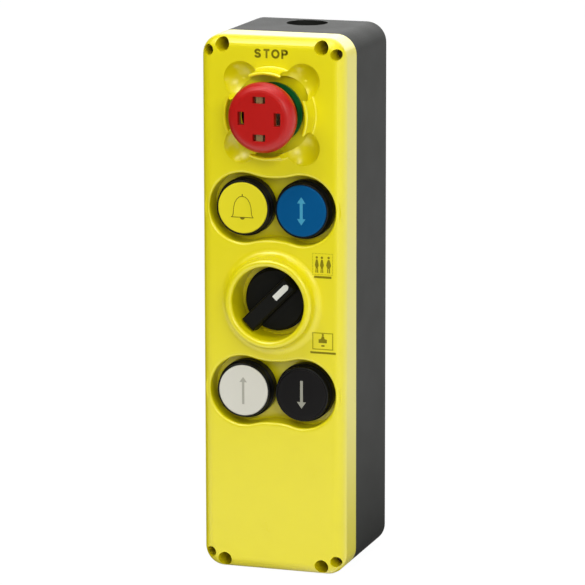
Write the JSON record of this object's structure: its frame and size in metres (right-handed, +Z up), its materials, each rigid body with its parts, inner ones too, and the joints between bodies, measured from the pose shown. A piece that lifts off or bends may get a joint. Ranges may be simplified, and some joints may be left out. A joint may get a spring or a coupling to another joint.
{
  "type": "lift car top control box",
  "caption": "Upright lift inspection control box: yellow cover, black housing, mushroom stop with collar, push buttons and a guarded selector.",
  "frame": {"origin": "centre of the rear mounting face", "axes": "+Z up along the height, -Y out of the front face with the controls, +X to the right seen from the front"},
  "size_m": [0.073, 0.089, 0.265],
  "materials": {
    "yellow_plastic": "fine satin moulded",
    "black_plastic": "fine textured moulded",
    "operator_black": "smooth satin",
    "gasket_foam": "matt",
    "zinc_steel": "zinc plated",
    "nut_plastic": "moulded",
    "seal_rubber": "matt",
    "stop_red": "smooth",
    "window_grey": "smooth",
    "ring_green": "smooth",
    "stem_metal": "turned",
    "spring_steel": "drawn wire",
    "clip_plastic": "moulded",
    "block_red": "moulded",
    "block_green": "moulded",
    "plunger_amber": "moulded, with a copper bridge",
    "cap_yellow": "smooth",
    "cap_blue": "smooth",
    "cap_white": "smooth",
    "cap_black": "smooth",
    "pointer_white": "smooth",
    "strip_grey": "moulded",
    "brass": "turned"
  },
  "bodies": {
    "box": {"cover": "yellow_plastic", "housing": "black_plastic", "gasket": "gasket_foam", "cover_screws": "zinc_steel", "ring_nuts": "nut_plastic", "bezel_seals": "seal_rubber", "stop_ring": "ring_green", "stop_body": "operator_black", "stop_spring": "spring_steel", "stop_carrier": "clip_plastic", "stop_block_left": "block_red", "stop_block_right": "block_red", "bell_body": "operator_black", "bell_spring": "spring_steel", "bell_clip": "clip_plastic", "bell_block": "block_green", "run_body": "operator_black", "run_spring": "spring_steel", "run_clip": "clip_plastic", "run_block": "block_green", "up_body": "operator_black", "up_spring": "spring_steel", "up_clip": "clip_plastic", "up_block": "block_green", "down_body": "operator_black", "down_spring": "spring_steel", "down_clip": "clip_plastic", "down_block": "block_green", "sel_body": "operator_black", "sel_clip": "clip_plastic", "sel_block": "block_green", "terminal_strip": "strip_grey", "strip_screws": "zinc_steel", "earth_stud": "brass"},
    "stop_slider": {"stop_shaft": "stem_metal", "stop_plungers": "plunger_amber"},
    "stop_button": {"stop_head": "stop_red", "stop_window": "window_grey"},
    "bell_button": {"bell_cap": "cap_yellow", "bell_stem": "stem_metal", "bell_plunger": "plunger_amber"},
    "run_button": {"run_cap": "cap_blue", "run_stem": "stem_metal", "run_plunger": "plunger_amber"},
    "up_button": {"up_cap": "cap_white", "up_stem": "stem_metal", "up_plunger": "plunger_amber"},
    "down_button": {"down_cap": "cap_black", "down_stem": "stem_metal", "down_plunger": "plunger_amber"},
    "selector": {"sel_knob": "operator_black", "sel_pointer": "pointer_white", "sel_spindle": "stem_metal"},
    "sel_pusher_left": {"sel_plunger_left": "plunger_amber"},
    "sel_pusher_right": {"sel_plunger_right": "plunger_amber"}
  },
  "joints": [
    {"name": "bell_press", "type": "slide", "parent": "box", "child": "bell_button", "axis": [0, 1, 0], "range_m": [0, 0.0035], "stiffness_N_per_m": 500, "springref_m": -0.004, "deforming": ["bell_spring"]},
    {"name": "run_press", "type": "slide", "parent": "box", "child": "run_button", "axis": [0, 1, 0], "range_m": [0, 0.0035], "stiffness_N_per_m": 500, "springref_m": -0.004, "deforming": ["run_spring"]},
    {"name": "up_press", "type": "slide", "parent": "box", "child": "up_button", "axis": [0, 1, 0], "range_m": [0, 0.0035], "stiffness_N_per_m": 500, "springref_m": -0.004, "deforming": ["up_spring"]},
    {"name": "down_press", "type": "slide", "parent": "box", "child": "down_button", "axis": [0, 1, 0], "range_m": [0, 0.0035], "stiffness_N_per_m": 500, "springref_m": -0.004, "deforming": ["down_spring"]},
    {"name": "stop_press", "type": "slide", "parent": "box", "child": "stop_slider", "axis": [0, 1, 0], "range_m": [0, 0.0045], "deforming": ["stop_spring"]},
    {"name": "stop_twist", "type": "hinge", "parent": "stop_slider", "child": "stop_button", "pos_m": [0, -0.089, 0.0955], "axis": [0, 1, 0], "range_deg": [0, 45], "stiffness_Nm_per_rad": 0.05},
    {"name": "selector_turn", "type": "hinge", "parent": "box", "child": "selector", "pos_m": [0, -0.07, 0.0033], "axis": [0, 1, 0], "range_deg": [0, 90]},
    {"name": "sel_push_left", "type": "slide", "parent": "box", "child": "sel_pusher_left", "axis": [0, 1, 0], "range_m": [-0.00005, 0.00305]},
    {"name": "sel_push_right", "type": "slide", "parent": "box", "child": "sel_pusher_right", "axis": [0, 1, 0], "range_m": [-0.00305, 0.00005]}
  ],
  "couplings": [
    {"joint": "sel_push_left", "follows": "selector_turn", "m_per_rad": 0.0019099},
    {"joint": "sel_push_right", "follows": "selector_turn", "m_per_rad": -0.0019099}
  ]
}
